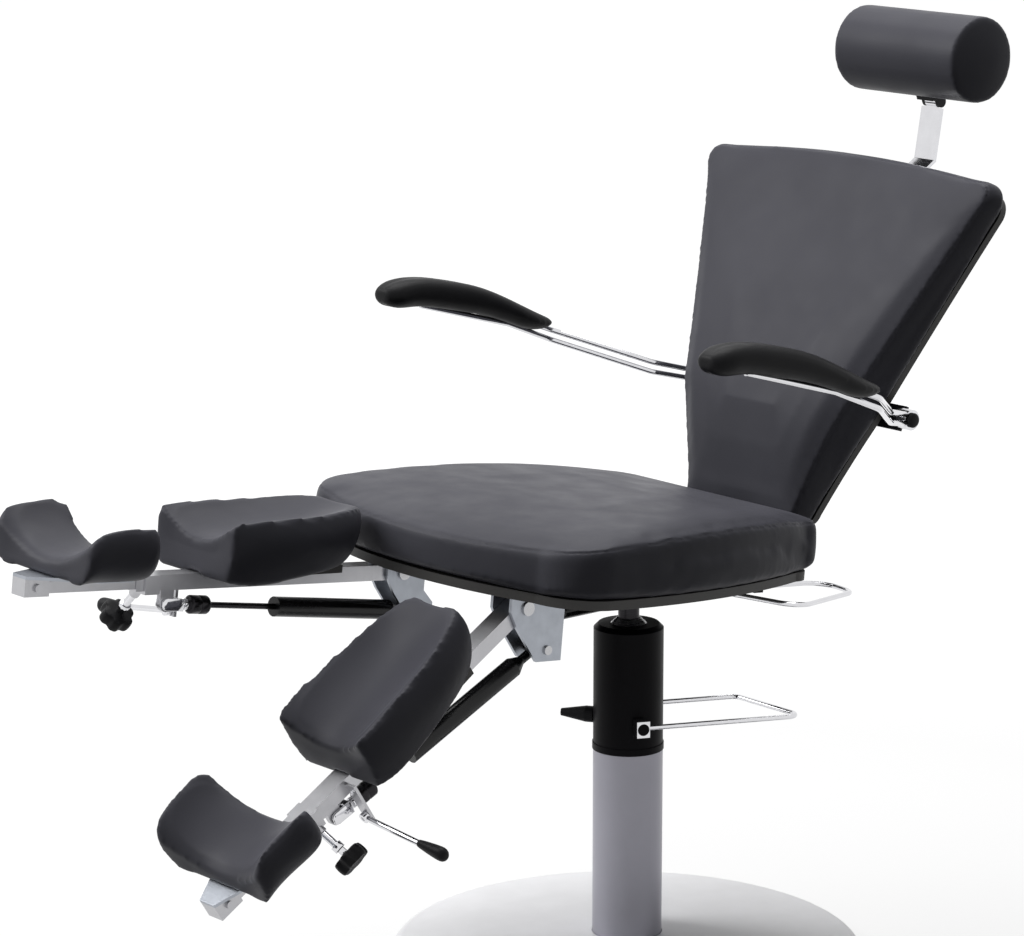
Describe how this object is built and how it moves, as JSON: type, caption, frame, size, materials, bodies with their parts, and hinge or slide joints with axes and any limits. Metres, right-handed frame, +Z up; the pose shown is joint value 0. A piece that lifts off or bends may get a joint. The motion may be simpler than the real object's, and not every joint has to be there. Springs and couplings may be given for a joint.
{
  "type": "podiatry chair",
  "caption": "Podiatry chair on a round pump column: reclining back, roll headrest, fold-up armrests and twin leg rests with heel cups.",
  "frame": {"origin": "centre of the base on the floor, under the column", "axes": "+Z up, -Y the way the sitter faces, +X the sitter's left"},
  "size_m": [0.7004, 1.4769, 1.259],
  "materials": {
    "upholstery": "charcoal vinyl, satin",
    "arm_skin": "black foamed plastic, satin",
    "base_paint": "pale grey, satin",
    "column_paint": "silver grey, satin",
    "frame_paint": "black, satin",
    "tube_paint": "satin anodised",
    "black_paint": "black, gloss",
    "bracket_paint": "brushed",
    "aluminium": "satin",
    "steel": "zinc plated",
    "chrome": "polished",
    "cast_iron": "painted black",
    "black_plastic": "moulded, matte",
    "rubber": "matte",
    "board": "plywood, black film"
  },
  "bodies": {
    "base": {"floor_ring": "rubber", "base_plate": "cast_iron", "base_cover": "base_paint", "column_tube": "column_paint", "base_bolts": "steel", "pump_cylinder": "steel", "pump_housing": "black_plastic", "upper_sleeve": "column_paint", "piston_bush": "steel"},
    "pedal": {"pump_pedal": "chrome", "pedal_clamps": "chrome"},
    "brake": {"brake_knob": "black_plastic"},
    "lift": {"piston_rod": "black_paint"},
    "seat": {"seat_hub": "frame_paint", "seat_frame": "frame_paint", "seat_board": "board", "seat_pad": "upholstery", "leg_bracket_left": "bracket_paint", "leg_bracket_right": "bracket_paint", "pivot_pins": "steel", "release_bearings": "black_plastic"},
    "back_release": {"release_handle": "chrome"},
    "backrest": {"back_board": "board", "back_pad": "upholstery", "back_frame": "frame_paint", "headrest_guide": "frame_paint"},
    "headrest_clamp": {"headrest_knob": "black_plastic"},
    "head_post": {"headrest_stem": "chrome"},
    "headrest": {"headrest_saddle": "frame_paint", "headrest_roll": "upholstery"},
    "back_strut": {"back_spring_cylinder": "black_paint"},
    "back_strut_rod": {"back_spring_rod": "steel"},
    "arm_left": {"arm_bars_left": "chrome", "arm_pad_left": "arm_skin"},
    "leg_left": {"leg_tube_left": "tube_paint", "calf_board_left": "board", "calf_pad_left": "upholstery"},
    "leg_extension_left": {"leg_slide_left": "aluminium", "heel_plate_left": "bracket_paint", "heel_cup_left": "upholstery"},
    "leg_clamp_left": {"leg_knob_left": "black_plastic"},
    "leg_trigger_left": {"leg_lever_left": "chrome"},
    "leg_strut_left": {"leg_spring_cylinder_left": "black_paint"},
    "leg_strut_rod_left": {"leg_spring_rod_left": "steel"},
    "arm_right": {"arm_bars_right": "chrome", "arm_pad_right": "arm_skin"},
    "leg_right": {"leg_tube_right": "tube_paint", "calf_board_right": "board", "calf_pad_right": "upholstery"},
    "leg_extension_right": {"leg_slide_right": "aluminium", "heel_plate_right": "bracket_paint", "heel_cup_right": "upholstery"},
    "leg_clamp_right": {"leg_knob_right": "black_plastic"},
    "leg_trigger_right": {"leg_lever_right": "chrome"},
    "leg_strut_right": {"leg_spring_cylinder_right": "black_paint"},
    "leg_strut_rod_right": {"leg_spring_rod_right": "steel"}
  },
  "joints": [
    {"name": "pedal_press", "type": "hinge", "parent": "base", "child": "pedal", "pos_m": [0, 0, 0.345], "axis": [-0.9135, 0.4067, 0], "range_deg": [0, 22], "stiffness_Nm_per_rad": 6, "springref_deg": -8.59},
    {"name": "brake_turn", "type": "hinge", "parent": "base", "child": "brake", "pos_m": [0, 0, 0.345], "axis": [-0.832, -0.5548, 0], "range_deg": [0, 180]},
    {"name": "lift", "type": "slide", "parent": "base", "child": "lift", "axis": [0, 0, 1], "range_m": [0, 0.2]},
    {"name": "seat_swivel", "type": "hinge", "parent": "lift", "child": "seat", "pos_m": [0, 0, 0.56], "axis": [0, 0, 1], "continuous": true},
    {"name": "release_pull", "type": "hinge", "parent": "seat", "child": "back_release", "pos_m": [0.106, -0.00355, 0.53819], "axis": [0, -0.9945, 0.1045], "range_deg": [0, 10], "stiffness_Nm_per_rad": 4, "springref_deg": -11.46},
    {"name": "back_recline", "type": "hinge", "parent": "seat", "child": "backrest", "pos_m": [0, 0.23603, 0.55795], "axis": [-1, 0, 0], "range_deg": [-8, 52]},
    {"name": "headrest_clamp_turn", "type": "hinge", "parent": "backrest", "child": "headrest_clamp", "pos_m": [0, 0.40567, 0.91409], "axis": [0, 0.9171, -0.3987], "range_deg": [0, 360]},
    {"name": "headrest_slide", "type": "slide", "parent": "backrest", "child": "head_post", "axis": [0, 0.3987, 0.9171], "range_m": [-0.03, 0.12]},
    {"name": "headrest_tilt", "type": "hinge", "parent": "head_post", "child": "headrest", "pos_m": [0, 0.562, 1.131], "axis": [1, 0, 0], "range_deg": [-30, 30]},
    {"name": "arm_fold_left", "type": "hinge", "parent": "backrest", "child": "arm_left", "pos_m": [0.2, 0.318, 0.742], "axis": [-1, 0, 0], "range_deg": [0, 75]},
    {"name": "leg_lower_left", "type": "hinge", "parent": "seat", "child": "leg_left", "pos_m": [0.125, -0.29974, 0.57103], "axis": [1, 0, 0], "range_deg": [-39, 17.8]},
    {"name": "leg_extend_left", "type": "slide", "parent": "leg_left", "child": "leg_extension_left", "axis": [0, -0.8462, -0.5329], "range_m": [-0.072, 0.118]},
    {"name": "leg_clamp_turn_left", "type": "hinge", "parent": "leg_left", "child": "leg_clamp_left", "pos_m": [0.14501, -0.62587, 0.34201], "axis": [0.7071, 0.3768, -0.5983], "range_deg": [0, 360]},
    {"name": "leg_trigger_pull_left", "type": "hinge", "parent": "leg_left", "child": "leg_trigger_left", "pos_m": [0.151, -0.56231, 0.35368], "axis": [0, -0.8462, -0.5329], "range_deg": [0, 10], "stiffness_Nm_per_rad": 1.5, "springref_deg": -11.46},
    {"name": "leg_strut_swing_left", "type": "hinge", "parent": "seat", "child": "leg_strut_left", "pos_m": [0.125, -0.26774, 0.51196], "axis": [1, 0, 0], "range_deg": [-38.13, 17.68]},
    {"name": "leg_strut_stroke_left", "type": "slide", "parent": "leg_strut_left", "child": "leg_strut_rod_left", "axis": [0, -0.8963, -0.4434], "range_m": [-0.02013, 0.04352]},
    {"name": "arm_fold_right", "type": "hinge", "parent": "backrest", "child": "arm_right", "pos_m": [-0.2, 0.318, 0.742], "axis": [-1, 0, 0], "range_deg": [0, 75]},
    {"name": "leg_lower_right", "type": "hinge", "parent": "seat", "child": "leg_right", "pos_m": [-0.125, -0.29974, 0.57103], "axis": [1, 0, 0], "range_deg": [0, 56.8]},
    {"name": "leg_extend_right", "type": "slide", "parent": "leg_right", "child": "leg_extension_right", "axis": [0, -0.993, 0.1184], "range_m": [-0.09, 0.1]},
    {"name": "leg_clamp_turn_right", "type": "hinge", "parent": "leg_right", "child": "leg_clamp_right", "pos_m": [-0.14501, -0.69731, 0.59828], "axis": [-0.7071, -0.0837, -0.7021], "range_deg": [0, 360]},
    {"name": "leg_trigger_pull_right", "type": "hinge", "parent": "leg_right", "child": "leg_trigger_right", "pos_m": [-0.151, -0.64058, 0.56736], "axis": [0, 0.993, -0.1184], "range_deg": [0, 10], "stiffness_Nm_per_rad": 1.5, "springref_deg": -11.46},
    {"name": "leg_strut_swing_right", "type": "hinge", "parent": "seat", "child": "leg_strut_right", "pos_m": [-0.125, -0.26774, 0.51196], "axis": [1, 0, 0], "range_deg": [-0.5, 54.6]},
    {"name": "leg_strut_stroke_right", "type": "slide", "parent": "leg_strut_right", "child": "leg_strut_rod_right", "axis": [0, -0.9838, 0.1794], "range_m": [-0.06186, 0.0005]},
    {"name": "back_strut_swing", "type": "hinge", "parent": "seat", "child": "back_strut", "pos_m": [-0.048, -0.112, 0.494], "axis": [1, 0, 0], "range_deg": [-1, 1]},
    {"name": "back_strut_stroke", "type": "slide", "parent": "back_strut", "child": "back_strut_rod", "axis": [0, 1, 0.0052], "range_m": [-0.0588, 0.0097]}
  ],
  "couplings": [
    {"joint": "leg_strut_swing_left", "follows": "leg_lower_left", "ratio": 0.965},
    {"joint": "leg_strut_stroke_left", "follows": "leg_lower_left", "m_per_rad": -0.0632},
    {"joint": "leg_strut_swing_right", "follows": "leg_lower_right", "ratio": 0.9525},
    {"joint": "leg_strut_stroke_right", "follows": "leg_lower_right", "m_per_rad": -0.0619},
    {"joint": "back_strut_swing", "follows": "back_recline", "ratio": -0.0075},
    {"joint": "back_strut_stroke", "follows": "back_recline", "m_per_rad": -0.06395}
  ]
}
